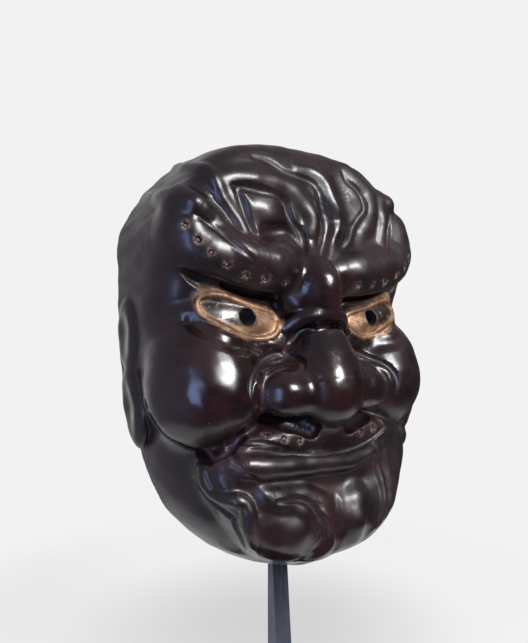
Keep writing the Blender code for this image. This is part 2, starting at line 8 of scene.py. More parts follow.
import math
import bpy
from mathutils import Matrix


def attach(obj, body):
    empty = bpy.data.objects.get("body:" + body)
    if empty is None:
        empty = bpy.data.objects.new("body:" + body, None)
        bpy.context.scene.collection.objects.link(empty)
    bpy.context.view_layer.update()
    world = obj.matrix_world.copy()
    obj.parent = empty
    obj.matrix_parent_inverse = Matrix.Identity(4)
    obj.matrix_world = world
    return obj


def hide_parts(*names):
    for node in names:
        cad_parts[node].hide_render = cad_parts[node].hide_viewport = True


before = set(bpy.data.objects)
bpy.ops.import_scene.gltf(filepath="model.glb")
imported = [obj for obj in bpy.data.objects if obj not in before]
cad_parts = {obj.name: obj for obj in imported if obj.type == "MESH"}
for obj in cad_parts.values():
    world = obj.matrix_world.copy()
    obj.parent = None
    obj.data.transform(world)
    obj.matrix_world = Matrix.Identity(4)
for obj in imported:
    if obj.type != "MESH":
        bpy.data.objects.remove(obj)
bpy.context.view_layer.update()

from concurrent.futures import ThreadPoolExecutor

import bmesh
import bpy
import numpy as np
import openvdb
from mathutils import Vector

MM = 0.001

# The mask's frame in the row's frame
EYE_HEIGHT = 246.0
MASK_BACK = 15.0
MASK_ORIGIN = Vector((0, MASK_BACK * MM, EYE_HEIGHT * MM))

# The shell, and the pupils' width and their place in x and z
WALL = 9.0
PUPIL = 8.8
PUPIL_PLACE = (44, 4)

# The stand: rows of height, half width, front y and back y, and arms as rows of x, y, z and radius
BAR = (
    (-237.7, 5.5, -24, -11),
    (-186, 5.5, -20, -11),
    (-141, 5.5, -16.2, -11),
    (72, 5.5, -16, -11),
)
FOOT = (
    (-246, 65, -80, 50),
    (-238, 65, -80, 50),
)
BAR_EDGE = 0.5
FOOT_EDGE = 1.0
STAND_ARMS = (
    [(0, -13.5, 62, 2.4), (18, -19, 64, 2.4), (36, -31, 66, 2.4)],
    [(0, -13.5, -100, 2.4), (14, -17, -103, 2.4), (28, -28, -110, 2.4)],
)
SEAT_GAP = 0.5

# The mask's mesh: the step of the grid it comes from, the most triangles it may have, and how far one of
# its points may move on to the clay's own surface
FINE_VOXEL = 1.1
MOST_TRIANGLES = 190000
FARTHEST_SNAP = 0.6
CLAY_LOW = (-106.0, -90.0, -140.0)
CLAY_HIGH = (106.0, 30.0, 116.0)

# Pegs of the lost hair: their places along the brow's row, and the moustache's, on the +X side
BROW_PEGS = (0.0, 0.2, 0.38, 0.57, 0.73, 0.865, 1.0)
MOUSTACHE_PEGS = ((40.0, -55.0), (31.0, -57.3), (21.6, -59.0))
PEG_HOLE = 1.45
PEG_DEPTH = 3.5

# The photograph's camera: how far round to the mask's right side, its distance and its focal length
CAMERA_TURN = 36.0
CAMERA_DISTANCE = 392.0
FOCAL_PIXELS = 649.4
PICTURE = (528, 643)
HORIZON_ROW = 324.75

# The gilding's edge round the eye, and the part of the eyeball where the lacquer stayed bare: x and z
EYE_OUTLINE = [(22.4, 3), (25, 6.8), (31, 9.5), (40, 11), (51, 15), (63, 19.7), (67.4, 19.9), (70, 13)]
EYE_OUTLINE += [(70.5, 8.7), (69.3, 4.4), (63, 0), (57, -3.6), (47, -7.2), (36, -8.4), (28, -6), (23.4, -1.5)]
EYE_DARK = [(66.5, 10.5), (61, 13.3), (54.5, 12.7), (47, 9.8), (43, 8.8), (43, -0.8), (49.5, -0.6)]
EYE_DARK += [(54.5, 0.8), (61, 3.2), (65.5, 6)]

# How far back the gilding goes, how deep the hollows and crests are felt for, and how far round the crack
# under the cheek the painted shade reaches
GILT_BACK = -25
RELIEF_REACH = 3.0
CRACK_SHADE_REACH = 4.5

# Where the gloss starts and ends to rise: the heights of the nose and cheeks, the knob, and under the chin
POLISH_BOTTOM = (-54, -48)
POLISH_TOP = (2, 12)
KNOB_SIDE = (15, 20)
KNOB_TOP = (30, 34)
CHIN_POLISH = (104, 112)

# The floor: how far from its middle it starts and ends to fade, where the middle lies,
# how pale it is, and how much it glows under the mask and away from it: the weaker glow under the mask is a
# painted shadow
FLOOR_FADE = (0.24, 0.36)
FLOOR_MIDDLE = (0.09, 0.13, 0.0)
FLOOR_ALBEDO = 0.12
FLOOR_GLOW_AND_SHADOW = (0.54, 0.76)

# The room that the gloss mirrors: where its lighter parts lie, their reach as cosines and their colours
ROOM = (
    ((-1, 0.2, 0), 0.1, 0.95, (0.38, 0.35, 0.46)),
    ((0, 0.2, 1), 0.05, 0.85, (0.30, 0.28, 0.32)),
    ((0.25, 1, 0), 0.6, 1.0, (0.8, 0.78, 0.8)),
)

# The background that the eye sees, and the room's darker parts
BACKGROUND = (0.888, 0.888, 0.888)
DARK_ROOM = (0.07, 0.06, 0.06)

# The lights: azimuth, elevation, distance, width and height, power and colour
LIGHTS = {
    "key": (12, 26, 1.3, (0.42, 0.42), 21, (1, 1, 1)),
    "window": (-50, -2, 1.3, (0.34, 1.0), 5.5, (0.38, 0.52, 1.0)),
}

# How far the hand carving strays from even
WAVES = 0.25

# Whether a shape stands on both halves of the face, as a mirrored pair, or only where it is drawn
PAIR = True
ONCE = False


# Clay: distances in millimetres, negative inside the shape


def blend_min(a, b, k):
    """The nearer of two distances, rounded over k where they meet."""
    h = np.clip(0.5 + 0.5 * (b - a) / k, 0.0, 1.0)
    return b + (a - b) * h - k * h * (1.0 - h)


def smooth_line(points, steps=6):
    """Rows along a Catmull-Rom curve through the rows given."""
    rows = np.array(points, float)
    rows = np.vstack([2 * rows[0] - rows[1], rows, 2 * rows[-1] - rows[-2]])
    line = []
    for a, b, c, d in zip(rows, rows[1:], rows[2:], rows[3:]):
        for t in np.arange(steps) / steps:
            bend = (2 * a - 5 * b + 4 * c - d) * t**2 + (3 * b - a - 3 * c + d) * t**3
            line.append(0.5 * (2 * b + (c - a) * t + bend))
    line.append(rows[-2])
    return np.array(line)


def loft(rows, back):
    """A boxy head through rows of height, half width, front y and squareness, about the plane y = back."""
    z_rows, width_rows, front_rows, power_rows = smooth_line(rows, 8).T
    middle, half = (z_rows[0] + z_rows[-1]) / 2, (z_rows[-1] - z_rows[0]) / 2

    def level(x, y, z):
        width = np.maximum(np.interp(z, z_rows, width_rows), 0.5)
        depth = np.maximum(back - np.interp(z, z_rows, front_rows), 0.5)
        power = np.interp(z, z_rows, power_rows)
        whole = (np.abs(x) / width) ** power + (np.abs(y - back) / depth) ** power
        return (whole + 1e-9) ** (1.0 / power) - 1.0

    def distance(p):
        x, y, z = (p[..., i].astype(np.float32) for i in range(3))
        here = level(x, y, z)
        dx = level(x + 0.5, y, z) - here
        dy = level(x, y + 0.5, z) - here
        dz = level(x, y, z + 0.5) - here
        across = dx * dx + dy * dy
        slope = 2.0 * np.sqrt(across + np.minimum(dz * dz, 6.0 * across)) + 1e-4
        return np.maximum(np.clip(here / slope, -40.0, 40.0), np.abs(z - middle) - half)

    reach = np.array([max(width_rows), 2 * back - min(front_rows), 0])
    low = np.array([-reach[0], min(front_rows), z_rows.min()])
    return distance, low, np.array([*reach[:2], z_rows.max()])


def egg(centre, radii, turn=(0.0, 0.0)):
    """An ellipsoid, turned by degrees about Y and then about Z."""
    centre, radii = np.array(centre, np.float32), np.array(radii, np.float32)
    roll, yaw = np.radians(turn)

    def distance(p):
        x, y, z = (p[..., i] - centre[i] for i in range(3))
        x, y = math.cos(yaw) * x + math.sin(yaw) * y, math.cos(yaw) * y - math.sin(yaw) * x
        x, z = math.cos(roll) * x + math.sin(roll) * z, math.cos(roll) * z - math.sin(roll) * x
        a, b, c = x / radii[0], y / radii[1], z / radii[2]
        whole = np.sqrt(a * a + b * b + c * c) + 1e-6
        steep = np.sqrt((a / radii[0]) ** 2 + (b / radii[1]) ** 2 + (c / radii[2]) ** 2) + 1e-6
        return whole * (whole - 1.0) / steep

    reach = float(radii.max())
    return distance, centre - reach, centre + reach


def cord(points, steps=5):
    """A round cord through rows of x, y, z and radius."""
    line = smooth_line(points, steps).astype(np.float32)
    start, radius = line[:-1, :3], line[:, 3]
    along = line[1:, :3] - start
    squares = np.maximum((along * along).sum(-1), 1e-9)

    def distance(p):
        gap = p[:, None, :] - start
        t = np.clip(np.einsum("nmk,mk->nm", gap, along) / squares, 0.0, 1.0)
        gap -= t[..., None] * along
        return (np.sqrt(np.einsum("nmk,nmk->nm", gap, gap)) - radius[:-1] - t * np.diff(radius)).min(-1)

    reach = radius.max()
    return distance, line[:, :3].min(0) - reach, line[:, :3].max(0) + reach


def hand_waves(p):
    """The slight unevenness of a surface cut by hand."""
    x, y, z = p.T
    wide = np.sin(0.31 * x + 0.17 * z + 1.0) * np.sin(0.29 * z - 0.13 * x) * np.cos(0.2 * y)
    fine = np.sin(0.73 * z + 0.35 * x) * np.sin(0.67 * x - 0.31 * z + 2.0) * np.cos(0.5 * y)
    return WAVES * (wide + 0.15 * fine)


class Clay:
    """A list of shapes added and cut in turn, and the distance that they make."""

    def __init__(self):
        self.steps = []

    def add(self, shape, blend=3.0, pair=PAIR):
        self.steps.append((1.0, *shape, blend, pair))

    def cut(self, shape, blend=2.0, pair=PAIR):
        self.steps.append((-1.0, *shape, blend, pair))

    def work(self, value, p, step):
        sign, distance, blend = step[0], step[1], step[4]
        return sign * blend_min(sign * value, distance(p), blend)

    def at(self, points, part=6000):
        """The distance at rows of points; many rows are worked out in threads."""
        p = np.array(points, np.float32)
        if len(p) <= part:
            return self.at_part(p)
        with ThreadPoolExecutor(4) as pool:
            return np.concatenate(list(pool.map(self.at_part, np.array_split(p, len(p) // part + 1))))

    def at_part(self, p):
        folded = np.column_stack([np.abs(p[:, 0]), p[:, 1:]])
        value = np.full(len(p), 50.0, np.float32)
        for step in self.steps:
            q = folded if step[5] else p
            low, high = step[2] - step[4] - 4.0, step[3] + step[4] + 4.0
            if np.any(q.min(0) > high) or np.any(q.max(0) < low):
                continue
            near = np.all((q > low) & (q < high), axis=-1)
            if near.any():
                value[near] = self.work(value[near], q[near], step)
        return value + hand_waves(p)

    def slope(self, points, here, gap=0.2):
        """The outward gradient of the distance at rows of points."""
        return np.stack([self.at(points + gap * e) - here for e in np.eye(3, dtype=np.float32)], -1) / gap

    def snap(self, points, rounds=4):
        """Rows of points moved onto the surface, and the unit normals there."""
        p = np.array(points, np.float32)
        for _ in range(rounds):
            here = self.at(p)
            g = self.slope(p, here)
            p = p - np.clip(here / np.maximum((g * g).sum(-1), 0.05), -6.0, 6.0)[..., None] * g
        g = self.slope(p, self.at(p))
        return p, g / np.maximum(np.linalg.norm(g, axis=-1, keepdims=True), 1e-6)

    def find(self, rows):
        """The surface under rows of x and z, seen from the front, or nearest to rows of x, y and z."""
        depths = np.arange(-88.0, 20.0, 1.5)
        points = []
        for row in rows:
            line = [(row[0], y, row[-1]) for y in depths] if len(row) == 2 else [row]
            points.append(line[int(np.argmax(self.at(line) < 0))])
        return self.snap(points)

    def along(self, rows, radius, rise):
        """Places on the surface, the normals there, and radii and rises that die away at both ends."""
        on, normal = self.find(rows)
        from_end = np.minimum(np.arange(len(rows)), np.arange(len(rows))[::-1])
        radii = radius * np.interp(from_end, (0, 1, 2), (0.6, 0.85, 1.0))
        return on, normal, radii, rise * np.interp(from_end, (0, 1, 2), (-0.1, 0.7, 1.0))

    def ridge(self, rows, radius, rise, blend=2.0, pair=ONCE):
        """Adds a rounded ridge along rows on the surface."""
        on, normal, radii, rises = self.along(rows, radius, rise)
        self.add(cord(np.column_stack([on - normal * (radii - rises)[:, None], radii])), blend, pair)

    def groove(self, rows, radius, depth, blend=1.5, pair=ONCE):
        """Cuts a rounded groove along rows on the surface, open to the full width where it is deep."""
        on, normal, radii, depths = self.along(rows, radius, depth)
        for share in {1.0, min(1.0, radius / depth)}:
            centres = on + normal * (radii - depths * share)[:, None]
            self.cut(cord(np.column_stack([centres, radii])), blend, pair)

    def grid(self, low, high, voxel, coarse=5):
        """The distance on a regular grid, worked out in full only near the surface."""
        counts = [math.ceil((b - a) / voxel / coarse) for a, b in zip(low, high)]
        blocks = np.indices(counts).reshape(3, -1).T
        middles = self.at(np.array(low) + (blocks * coarse + (coarse - 1) / 2) * voxel)
        value = np.where(middles < 0, -50.0, 50.0).astype(np.float32).reshape(counts)
        value = np.ascontiguousarray(value.repeat(coarse, 0).repeat(coarse, 1).repeat(coarse, 2))
        close = blocks[np.abs(middles) < 1.6 * coarse * voxel]
        close = close[np.lexsort(close.T // 6)]
        cells = (close[:, None, :] * coarse + np.indices([coarse] * 3).reshape(3, -1).T).reshape(-1, 3)
        value[tuple(cells.T)] = self.at(np.array(low) + cells * voxel)
        return value


def clay_mesh(name, clay, voxel, low, high):
    """A closed mesh of the clay's surface, in metres."""
    grid = openvdb.FloatGrid(50.0)
    grid.copyFromArray(np.ascontiguousarray(clay.grid(low, high, voxel)))
    points, triangles, quads = grid.convertToPolygons(0.0, 0.0)
    points, _ = clay.snap(points * voxel + np.array(low), 1)
    mesh = bpy.data.meshes.new(name)
    mesh.from_pydata(points * MM, [], [tuple(q) for q in quads] + [tuple(t) for t in triangles])
    mesh.validate()
    return mesh


# Height, half width, front and squareness of the head without its features
HEAD = (
    (-132.5, 2, -32, 2.4),
    (-131, 18, -42, 2.6),
    (-127, 35, -50, 2.8),
    (-121, 46.5, -51, 3.0),
    (-114, 55, -50, 3.0),
    (-108, 60.5, -49, 3.0),
    (-101, 65.5, -47, 3.2),
    (-93, 69.5, -45, 3.2),
    (-80, 73, -42, 3.4),
    (-63, 76.5, -40, 3.6),
    (-45, 80.5, -38, 3.8),
    (-20, 84.5, -38, 4.0),
    (5, 85.5, -38, 5.0),
    (25, 86, -42, 6.0),
    (45, 86.5, -46, 7.0),
    (60, 80.5, -45.5, 7.0),
    (76, 69, -43.5, 7.0),
    (90, 54, -39.5, 7.0),
    (96, 42, -35.5, 5.0),
    (100, 28, -28, 3.4),
    (102, 14, -17, 2.6),
    (103.5, 2, 2, 2.0),
)

# The same for the block of the mouth and the chin, whose edge is the fold from the cheek to the chin
MUZZLE = (
    (-127, 20, -46, 3.0),
    (-124, 29, -55, 3.6),
    (-119, 39, -61.5, 4.0),
    (-113, 45, -64, 5.0),
    (-107, 49.5, -65, 6.0),
    (-100, 54.5, -65, 6.0),
    (-93, 58, -64, 6.0),
    (-87, 61.5, -62.5, 6.0),
    (-82, 64, -61.5, 6.0),
    (-75, 66.5, -60.5, 6.0),
    (-66, 66.5, -60, 5.5),
    (-59, 61.5, -61, 4.2),
    (-53, 50, -60.5, 3.2),
    (-47, 26, -52, 3.0),
)

# The nostrils, blind hollows that face down and forwards: the mouth of each, and its depth
NOSTRILS = (
    [(38, -50, -44, 3), (34, -52, -46.5, 5.4), (27, -55, -48.5, 7), (20, -57, -50.5, 6.8), (13, -60, -54, 5)],
    [(33, -47, -43.5, 4.5), (25, -49, -43.5, 6), (17, -53, -46, 5)],
)

# The crack under the cheek on the -X side, from the ear to the wing of the nose
BAND = [(-91, -20, -36), (-87, -24, -47), (-82, -27, -56), (-77, -31, -61.5), (-71, -37, -65)]
BAND += [(-65, -44, -65.5), (-59, -50, -62), (-54, -53, -56), (-50, -54.5, -49)]

# Height and depth of the rim
RIM = (
    (-150, -38),
    (-132, -23),
    (-122, -16),
    (-108, -6),
    (-92, 4),
    (-70, 13),
    (-40, 18),
    (0, 19),
    (50, 18),
    (80, 14),
    (103, 7),
    (125, -2),
)


def offset(shape, by):
    """The same shape, grown by a distance."""
    distance, low, high = shape
    return lambda p: distance(p) - by, low - by, high + by


def carve_head(clay):
    """The mask's main volumes."""
    clay.add(loft(HEAD, 12))
    # Cheeks
    clay.add(egg((60, -27, -16), (25, 26, 22)), 10)
    clay.add(egg((58.5, -29, -33), (31.5, 32, 31)), 8)
    jowl = [(76, -34, -40, 10), (74, -36, -50, 10), (72, -38, -59, 8.7), (67, -42, -68, 8)]
    clay.add(cord(jowl), 6, ONCE)
    # Mouth and chin
    clay.add(loft(MUZZLE, -25), 2.5)
    # Brows, upright in front, and the deep recess under them, open to the front
    brow = [(10, -42, 28, 11), (28, -43.5, 30, 12), (45, -43.5, 33, 12), (62, -40, 36, 12.5)]
    clay.add(cord(brow + [(71, -35.5, 43, 12.5), (72, -33, 58, 11)]), 8)
    edge = [(14, -44, 21, 7.5), (28, -44, 22.5, 8), (45, -44, 25, 8), (60, -41.5, 29.5, 8)]
    edge += [(70, -38, 37, 8)]
    clay.add(cord(edge), 3)
    recess = [(15, -44, 9, 3.5), (28, -46, 12, 5), (44, -46, 13, 5), (58, -44, 17, 4.6)]
    recess += [(69, -40, 21.5, 3.6)]
    for forward in (0, 5, 10):
        row = [(x, y - forward, z, radius) for x, y, z, radius in recess]
        clay.cut(cord(row + [(77, -38.5 - forward, 25.5, 2.2), (84, -38 - forward, 29, 0.6)]), 1)
    clay.cut(cord([(16, -41, 13, 3.5), (28, -42, 16.5, 4.3), (42, -42, 17.5, 4.3), (54, -41, 20, 3)]), 1)
    # Nose, and the skin between it and the cheeks
    nose = [(0, -45, 3, 12.5), (0, -47, -5, 14), (0, -49, -13, 17), (0, -51.5, -24, 21)]
    nose += [(0, -54, -33, 22.8)]
    clay.add(cord(nose), 4)
    clay.add(cord([(14, -38, -1, 9), (24, -38.5, -9, 11), (36, -38, -15, 11)]), 6)
    # Knob between the brows
    clay.add(cord([(0, -48.5, 28.5, 8), (0, -52.3, 21.5, 11.5), (0, -48.5, 13, 13.8)]), 1.2)
    clay.add(cord([(-2, -51, 30, 6), (-7, -50, 23, 8), (-12, -46.5, 13, 9)]), 6, ONCE)


def carve_eyes(clay):
    """The eyeballs in their rims and lids."""
    lid = [(24, -39, 4.5, 3), (31, -40.5, 7.8, 3.6), (40, -40.5, 9.5, 3.8), (51, -39.5, 12.8, 4)]
    clay.add(cord(lid + [(60, -38, 15.5, 3.8), (66, -35, 15, 3.4)]), 3)
    clay.add(egg((46, -31.2, 1), (34, 15.8, 15), (9, 8)), 2)
    rim = [(23.5, 1.5), (26, 5), (32, 7.8), (40.5, 9.8), (49, 12.4), (56.4, 14.6), (62, 15.2), (67, 13.5)]
    rim += [(69, 9), (67, 4.5), (61, 0.3), (55, -3.2), (46, -6.6), (36, -7.6), (28.5, -5.8), (24.5, -2)]
    on, normal = clay.find(rim + rim[:1])
    clay.add(cord(np.column_stack([on - normal * 0.4, np.full(len(on), 1.5)])), 0.8)


def carve_forehead(clay):
    """The frown: folds that fan out from between the brows, not alike on the two halves."""
    # Inner ends of the brows
    clay.add(egg((29, -44, 31), (15, 13, 13), (6, 0)), 5)
    # The half on the left of the picture, from the temple to the middle
    clay.groove([(-71, 70), (-65, 64), (-60, 60), (-56, 54), (-51, 48), (-46, 42)], 8, 2.4, 4)
    shoulder = [(-74, 14, 72), (-78, -6, 70), (-80, -24, 65), (-76, 60), (-70, 58), (-66, 56), (-62, 53)]
    clay.ridge(shoulder + [(-57, 48), (-52, 42), (-48, 36), (-41, 35), (-33, 34)], 6, 2.6, 3)
    clay.groove([(-74, 53), (-67, 48), (-61, 43), (-56, 39), (-50, 34), (-44, 30)], 1.4, 0.7, 1.2)
    crest = [(-50, 24, 91), (-56, 7, 89), (-62, -14, 84), (-63, -32, 80), (-61, 76), (-60, 71), (-57, 64)]
    clay.ridge(crest + [(-53, 59), (-49, 53), (-47, 48), (-45, 44), (-42, 39)], 3.6, 1.9, 2)
    clay.groove([(-50, 70), (-48, 66), (-45, 60), (-43, 53), (-41, 47), (-38, 41)], 2.6, 1.7, 1.6)
    clay.ridge([(-46, 69), (-44, 65), (-41, 60), (-40, 54), (-38, 49), (-34, 46)], 2.4, 1.2, 1.6)
    clay.add(egg((-31, -35, 59), (19, 14, 17)), 2, ONCE)
    sweep = [(-58, 74), (-46, 75.5), (-35, 76.5), (-23, 75.5), (-13, 72), (-5, 66), (-1, 59), (0, 52)]
    sweep += [(-1, 44)]
    clay.ridge(sweep + [(-5, 37)], 7, 2.8, 3)
    hem = [(-52, 70), (-44, 70), (-36, 69), (-27, 68), (-20, 65), (-17, 59), (-14, 54), (-9, 50)]
    hem += [(-7, 45), (-9, 38)]
    clay.groove(hem, 2.2, 2.2, 1.5)
    clay.groove([(-36, 41), (-34, 46), (-27, 49.5), (-18, 50), (-12, 47), (-10, 42)], 4.5, 2.8, 2)
    # The middle
    clay.groove(
        [(-36, 87), (-27, 86), (-22, 84), (-17, 81), (-8, 80), (1, 78), (5, 74), (7, 68)],
        1.9, 1.2, 2,
    )
    clay.groove([(4, 72), (8, 65), (10, 58), (10, 52), (8, 45), (4, 38)], 5, 2.4, 2)
    # The half on the right
    ridge = [(-7, 86), (5, 85), (12, 79), (15, 71), (18.5, 65), (21, 59), (19.5, 53), (15, 45), (10, 38)]
    clay.ridge(ridge, 5, 2.1, 3)
    clay.groove([(21, 80), (27, 71), (29, 63), (26, 54), (21, 46)], 8, 1.4, 5)
    clay.ridge([(32, 91), (38, 84), (45, 78), (46, 71), (45, 65), (40, 58), (35, 52), (28, 44)], 6, 1.3, 4)
    clay.groove(
        [(27, 88), (29, 83), (35, 79), (39, 73), (40, 67), (35, 61), (31, 56), (27, 48), (20, 41)],
        1.5, 1, 1.5,
    )
    clay.ridge(
        [(60, -27, 84), (60, -37, 80), (57, 77), (55, 71), (55, 63), (54, 56), (51, 49)],
        4.5, 2, 2.5,
    )
    clay.add(egg((63, -33, 73), (9, 11, 8)), 3, ONCE)
    clay.groove([(63, 66), (61, 61), (59, 54), (56, 47), (48, 39)], 1.6, 1.4, 1.4)


def carve_nose(clay):
    """The roll and the crease across the bridge, the wings and the nostrils."""
    roll = [(0, -54, 5.6, 6.8), (6, -53.5, 5.1, 6.6), (13, -50.5, 2.8, 6), (19, -45.5, -1.5, 5.5)]
    roll += [(24, -41, -6.5, 4)]
    clay.add(cord(roll), 1.5)
    crease = [(-22, -14), (-20.5, -11.5), (-18.5, -8.5), (-16, -5.4), (-13, -3), (-9, -1.4), (-3, -0.6)]
    crease += [(3, -0.6), (9, -1.4), (13, -3), (16, -5.4), (18.5, -8.5), (20.5, -11.5), (22, -14)]
    clay.groove(crease, 2.6, 5.5, 0.7)
    # A wing: the ball, the rim that curls round it, and the lines on either side of the rim
    clay.add(egg((25, -51.5, -35), (18, 17, 14.5)), 5)
    outside = [(21, -63, -22), (21, -61, -17), (22, -55, -15.5), (24, -49, -15), (30, -49, -15.5)]
    outside += [(37, -51, -18), (45, -56, -22), (50, -58, -27), (52, -58, -33), (51, -58, -38)]
    clay.groove(outside, 1.4, 1.6, 1, PAIR)
    rim = [(22, -62, -22), (22, -59, -18.5), (24, -54, -18), (29, -53, -18), (35, -54, -20), (40, -55, -23)]
    clay.ridge(rim + [(45, -57, -27), (47, -58, -32), (47, -57, -38), (43, -55, -43)], 2, 0.7, 1, PAIR)
    inside = [(25, -60, -22.5), (28, -59, -21), (34, -58, -22), (38, -58, -24), (41, -58, -27.5)]
    clay.groove(inside + [(43, -59, -32), (43, -58, -37), (41, -58, -41)], 1.1, 0.8, 1, PAIR)
    # Nostrils, blind hollows that face down and forwards
    for nostril in NOSTRILS:
        clay.cut(cord(nostril), 0.8)


def carve_cheeks(clay):
    """The groove under the eye, and the overhanging edge round the cheek."""
    clay.groove([(72, 1), (69, -4), (65, -7), (57, -10), (46, -12), (38, -13), (30, -13)], 4, 1.4, 3, PAIR)
    clay.groove(BAND, 3.6, 6, 0.8)
    clay.groove(
        [(82, -37, -57), (79, -40, -60), (75, -43, -63), (70, -46, -63.5), (66, -49, -61), (61, -52, -54)],
        2.4, 1.2, 2,
    )
    clay.groove([(77, -42, -44), (74, -46, -49), (71, -49, -54), (68, -50, -59)], 2.4, 1.1, 1.6)


def carve_mouth(clay):
    """The closed lips and the hollow under them."""
    clay.groove(
        [(-48, -80), (-36, -81), (-26, -82), (-15, -83), (-4, -84), (8, -85), (20, -84), (32, -82)],
        7, 2.4, 4,
    )
    lower = [(-57, -53, -68, 5), (-51, -56.5, -69.2, 6.6), (-41, -58.3, -70.2, 6.6)]
    lower += [(-30, -59.2, -70.8, 6.3), (-19, -59.4, -71.3, 6), (-5, -59.8, -72.3, 5.6), (9, -60, -73, 5.2)]
    lower += [(20, -59.5, -72, 4.6), (30, -58.5, -70, 4), (40, -56, -66.5, 3.4), (46, -52, -64, 2.6)]
    clay.add(cord(lower), 1.5, ONCE)
    clay.groove([(-50, -74), (-55, -71), (-58, -67), (-58.5, -63), (-56, -60), (-50, -58)], 1.6, 0.8, 1.4)
    upper = [(-56, -60), (-50, -58), (-44, -58), (-36, -60.5), (-28, -63.3), (-20, -65.5), (-11, -66.8)]
    clay.groove(upper + [(2, -67.5), (12, -67.5), (22, -66), (29, -64), (35, -61), (42, -58)], 1.4, 1.8, 1)
    clay.groove([(-50, -61.5), (-43, -62), (-37, -63), (-29, -64.8), (-21, -66.5)], 1.7, 2.6, 1)


def carve_chin(clay):
    """The balls of the chin, and the folds that run to them."""
    clay.add(egg((-26, -51.5, -104), (17, 15, 14)), 4, ONCE)
    clay.add(egg((14, -53.5, -106), (11, 13, 13)), 3, ONCE)
    clay.ridge([(17, -85), (16, -91), (15, -98), (15, -105), (17, -112)], 8, 2.6, 4)
    brim = [(-49, -82), (-44, -83.5), (-38, -84.5), (-27, -84.7), (-18, -86), (-10, -90), (-4, -95)]
    clay.ridge(brim, 6, 3, 3)
    clay.ridge([(-46, -88), (-37, -89), (-28, -91), (-22, -94), (-17, -98), (-13, -103)], 4.5, 1.6, 2.5)
    clay.groove(
        [(-38, -86.5), (-31, -87.3), (-24, -88.3), (-18, -91), (-14, -95.5), (-11.5, -101)],
        1.6, 1.6, 1.4,
    )
    clay.ridge(
        [(-14, -93), (-9, -97), (-5, -102), (-2.5, -107), (-2.5, -113), (-6, -117), (-13, -120),
         (-21, -121)],
        3.2, 2.2, 1.8,
    )
    clay.groove([(-12, -99), (-9, -104), (-8, -109), (-10, -113), (-15, -115)], 1.8, 1.4, 1.4)
    clay.groove([(1, -91), (0.5, -99), (0.5, -106), (1, -113), (2, -121)], 3.4, 2.4, 2)
    # Folds from the corners of the mouth
    jaw = [(-71, -40, -66), (-70, -41, -72), (-67, -42, -77), (-63, -45, -81.5)]
    jaw += [(-60, -50, -83), (-56, -54, -84.5), (-53, -56, -87), (-50.5, -56, -92)]
    jaw += [(-48.5, -56, -98), (-45, -54.5, -106), (-40, -50, -114)]
    clay.groove([(-62, -73), (-57, -77.5), (-52, -80.5), (-48, -86), (-45, -94)], 6, 1.6, 3)
    clay.ridge(jaw, 4, 3.4, 1.2)
    edge = [(-66, -30, -79), (-62, -34, -84), (-58, -38, -88), (-55, -46, -90), (-53, -51, -93)]
    edge += [(-51, -50, -99), (-48, -48, -107), (-43, -45, -114)]
    clay.groove(edge, 2, 1.8, 1)
    fold = [(31, -64), (34, -71), (34, -77), (35, -83), (36, -89), (36, -96), (35, -102), (32, -109)]
    fold += [(25, -115)]
    clay.ridge(fold, 2.6, 1.6, 1.4)
    clay.groove([(38, -66), (39, -76), (40, -86), (40, -96), (38, -106)], 3, 1.4, 2)


def carve_ears(clay):
    """Two long petals on the side, softly hollowed."""
    clay.add(egg((84, 6, -6), (4.8, 12.5, 21), (-2, 0)), 1.2)
    clay.cut(egg((94, 9, -6), (7.5, 9.5, 17), (-2, 0)), 4)
    clay.add(egg((81.5, 5, -44), (5, 12, 23), (-8, 0)), 1.2)
    clay.cut(egg((91.5, 8, -45), (7.5, 9, 18), (-8, 0)), 4)


def behind(rows):
    """Everything behind the rim, whose depth is given by rows of height and y."""
    line = smooth_line(rows, 6)

    def distance(p):
        slope = np.interp(p[..., 2], line[1:, 0], np.diff(line[:, 1]) / np.diff(line[:, 0]))
        return (np.interp(p[..., 2], line[:, 0], line[:, 1]) - p[..., 1]) / np.sqrt(1 + slope * slope)

    return distance, np.full(3, -1e4), np.full(3, 1e4)


def hollow_out(clay):
    """The wearer's side, the rim and the pupils."""
    clay.cut(offset(loft(HEAD, 12), -WALL), 4)
    # Room behind the nose, the mouth and the cheeks
    clay.cut(cord([(0, -24, 14, 8), (0, -32, -4, 9), (0, -41, -24, 12), (0, -37, -40, 10)]), 12)
    clay.cut(egg((0, -22, -90), (42, 24, 33)), 12)
    clay.cut(egg((56, -18, -30), (18, 24, 20)), 12)
    clay.cut(behind(RIM), 1.5, ONCE)
    x, z = PUPIL_PLACE
    clay.cut(cord([(x, -70, z, PUPIL / 2), (x, 0, z, PUPIL / 2)]), 0.6)
    for seat in STAND_ARMS:
        clay.cut(offset(cord(seat), SEAT_GAP), 0.5)


def carved_mask():
    """The whole mask in clay."""
    clay = Clay()
    carve_head(clay)
    carve_eyes(clay)
    carve_forehead(clay)
    carve_nose(clay)
    carve_cheeks(clay)
    carve_mouth(clay)
    carve_chin(clay)
    carve_ears(clay)
    hollow_out(clay)
    return clay


# Fine relief, which the solid leaves out


def brow_row():
    """Rows of x and z of the brow's holes, on the +X side."""
    line = smooth_line([(25.5, 22.5), (48.5, 24.5), (67.5, 34.5), (78.5, 47.5)], 12)
    along = np.r_[0, np.cumsum(np.linalg.norm(np.diff(line, axis=0), axis=1))]
    return [[float(np.interp(at * along[-1], along, axis)) for axis in line.T] for at in BROW_PEGS]


def carve_pegs(clay):
    """The holes of the brows and the moustache, as rows of their places and the normals there."""
    rows = brow_row() + [list(row) for row in MOUSTACHE_PEGS]
    places, normals = clay.find(rows + [[-x, z] for x, z in rows])
    for place, normal in zip(places, normals):
        mouth = (*(place + normal), PEG_HOLE)
        end = (*(place - normal * PEG_DEPTH), PEG_HOLE * 0.8)
        clay.cut(cord([mouth, end]), 0.3, ONCE)
    return places, normals


# The mask's mesh, with what its material needs to know at each vertex


